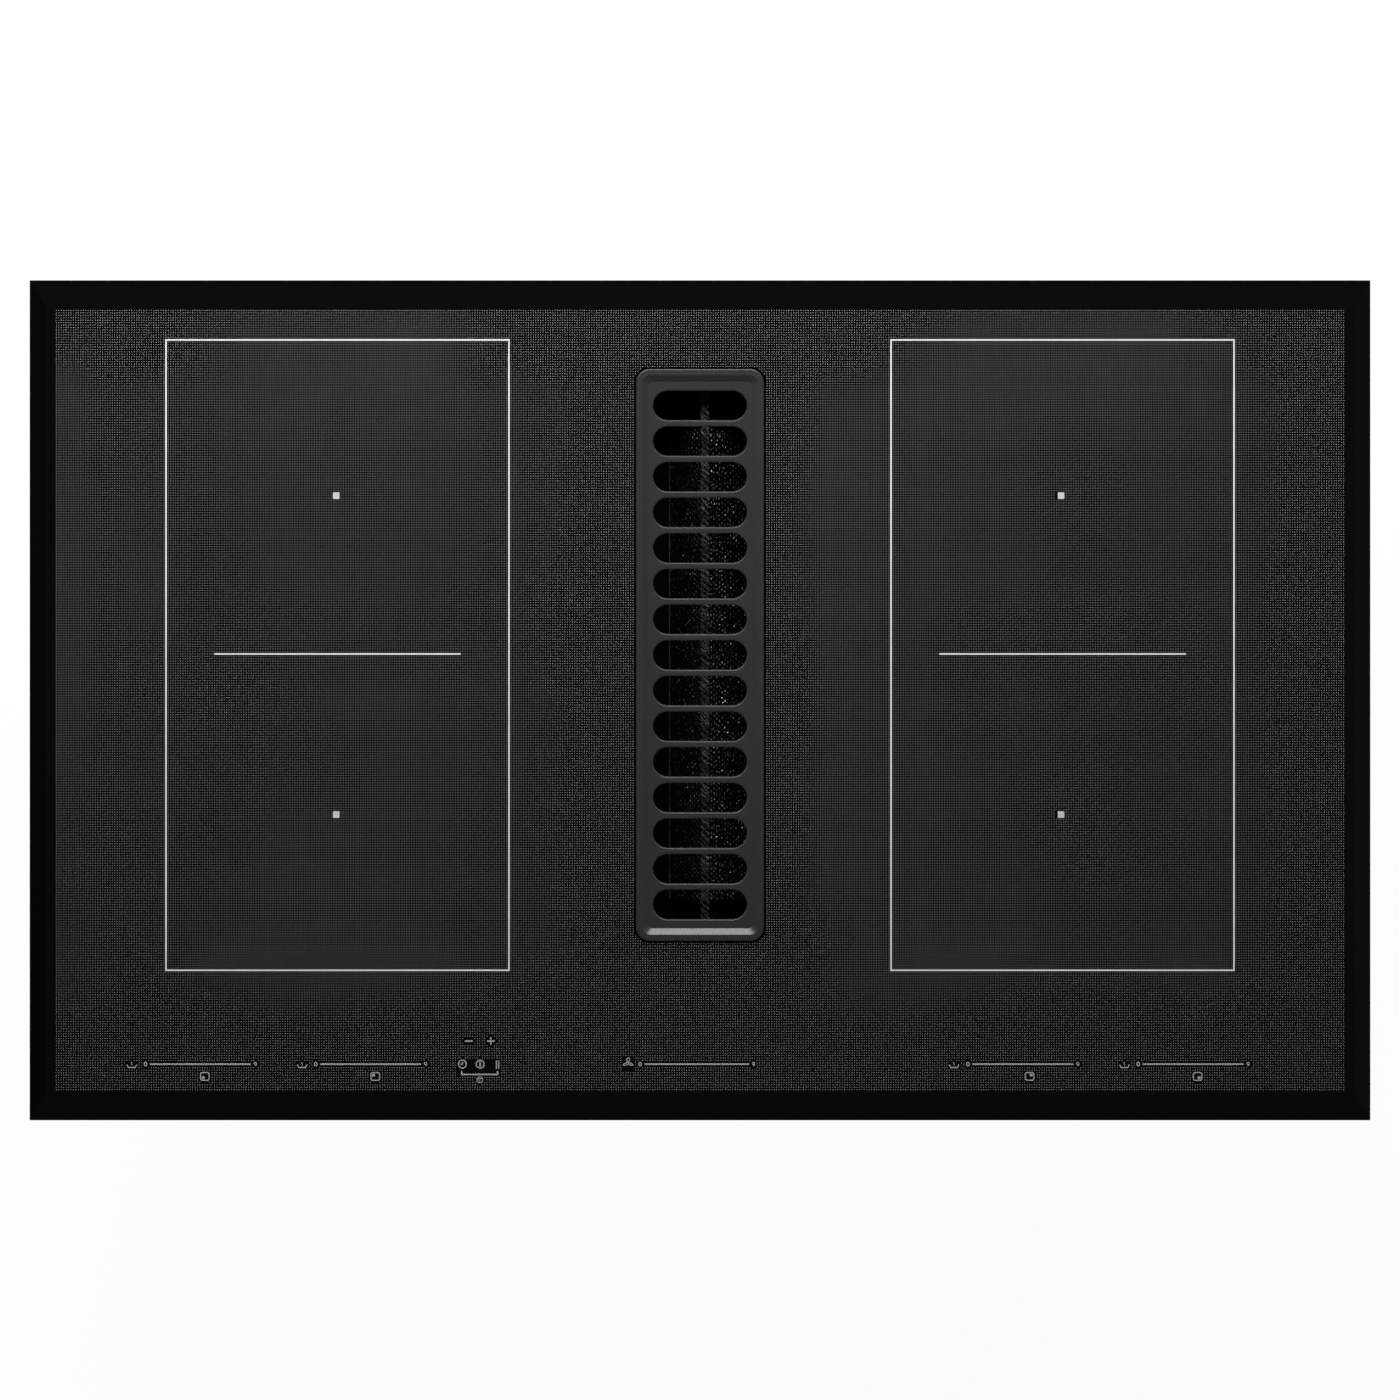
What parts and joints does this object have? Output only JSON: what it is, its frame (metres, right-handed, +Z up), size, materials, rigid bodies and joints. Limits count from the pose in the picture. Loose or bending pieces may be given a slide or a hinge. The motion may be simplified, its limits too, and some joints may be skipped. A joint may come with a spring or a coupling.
{
  "type": "downdraft induction cooktop",
  "caption": "Black glass induction cooktop with a central slotted extraction grille, lift-out grease filter, drip tray, scroll fan and rear duct outlet.",
  "frame": {"origin": "on the worktop's surface, under the middle of the glass", "axes": "+X to the user's right, +Y to the back of the worktop, +Z up"},
  "size_m": [0.83, 0.52, 0.2135],
  "materials": {
    "black_glass": "polished black glass ceramic with printed dots",
    "seal_foam": "closed-cell sealing strip",
    "galvanised_sheet": "galvanised sheet",
    "grille_coat": "dark satin powder coat",
    "filter_steel": "dark coated steel",
    "filter_mesh": "expanded metal, dulled",
    "moulded_plastic": "fine moulded grain",
    "impeller_plastic": "glass-filled moulding",
    "shaft_steel": "zinc-plated and ground steel",
    "motor_can": "die-cast",
    "rubber": "moulded rubber",
    "gland_plastic": "moulded nylon",
    "mica": "pressed mica sheet",
    "winding_copper": "enamelled litz wire",
    "ferrite": "sintered ferrite",
    "aluminium_sheet": "mill finish",
    "sensor_ceramic": "potted sensor",
    "circuit_board": "solder resist",
    "power_parts": "sleeved capacitors and potted parts"
  },
  "bodies": {
    "housing": {"blower_housing_left": "impeller_plastic", "blower_housing_right": "impeller_plastic", "board_tray_left": "gland_plastic", "board_tray_right": "gland_plastic", "cable_gland": "gland_plastic", "clamp_screws": "shaft_steel", "coil_carrier_left_back": "aluminium_sheet", "coil_carrier_left_front": "aluminium_sheet", "coil_carrier_right_back": "aluminium_sheet", "coil_carrier_right_front": "aluminium_sheet", "coil_ferrites_left_back": "ferrite", "coil_ferrites_left_front": "ferrite", "coil_ferrites_right_back": "ferrite", "coil_ferrites_right_front": "ferrite", "coil_sensors": "sensor_ceramic", "coil_springs": "shaft_steel", "coil_winding_left_back": "winding_copper", "coil_winding_left_front": "winding_copper", "coil_winding_right_back": "winding_copper", "coil_winding_right_front": "winding_copper", "duct_adapter": "moulded_plastic", "fan_mounts": "rubber", "fan_screws": "shaft_steel", "filter_well": "moulded_plastic", "glass_top": "black_glass", "heat_sink_left": "aluminium_sheet", "heat_sink_right": "aluminium_sheet", "inlet_ring": "moulded_plastic", "lower_casing": "galvanised_sheet", "mica_sheets": "mica", "motor_mounts": "rubber", "motor_screws": "shaft_steel", "motor_stator": "motor_can", "power_board_left": "circuit_board", "power_board_right": "circuit_board", "power_parts_left": "power_parts", "power_parts_right": "power_parts", "scroll_lower": "moulded_plastic", "scroll_screws": "shaft_steel", "scroll_upper": "moulded_plastic", "sealing_tape": "seal_foam", "shaft_bearings": "shaft_steel", "suction_hood": "moulded_plastic", "terminal_block": "gland_plastic", "touch_board": "circuit_board", "touch_carrier": "gland_plastic", "worktop_clamps": "galvanised_sheet"},
    "filter": {"filter_frame": "filter_steel", "mesh_left": "filter_mesh", "mesh_right": "filter_mesh", "filter_spine": "filter_mesh"},
    "grille": {"grille": "grille_coat"},
    "drip_tray": {"drip_tray": "moulded_plastic", "tray_seal": "seal_foam"},
    "impeller": {"impeller": "impeller_plastic", "impeller_shaft": "shaft_steel"},
    "blower_wheel_left": {"blower_wheel_left": "impeller_plastic"},
    "blower_wheel_right": {"blower_wheel_right": "impeller_plastic"}
  },
  "joints": [
    {"name": "filter_lift", "type": "slide", "parent": "housing", "child": "filter", "axis": [0, 0, 1], "range_m": [0, 0.08]},
    {"name": "grille_lift", "type": "slide", "parent": "filter", "child": "grille", "axis": [0, 0, 1], "range_m": [0, 0.06]},
    {"name": "drip_tray_pull", "type": "slide", "parent": "housing", "child": "drip_tray", "axis": [0, 0, -1], "range_m": [0, 0.055]},
    {"name": "impeller_spin", "type": "hinge", "parent": "housing", "child": "impeller", "pos_m": [0.19, -0.02, -0.155], "axis": [0, 0, 1], "continuous": true},
    {"name": "blower_left_spin", "type": "hinge", "parent": "housing", "child": "blower_wheel_left", "pos_m": [-0.118, -0.19, -0.045], "axis": [0, 0, 1], "continuous": true},
    {"name": "blower_right_spin", "type": "hinge", "parent": "housing", "child": "blower_wheel_right", "pos_m": [0.118, -0.19, -0.045], "axis": [0, 0, 1], "continuous": true}
  ]
}
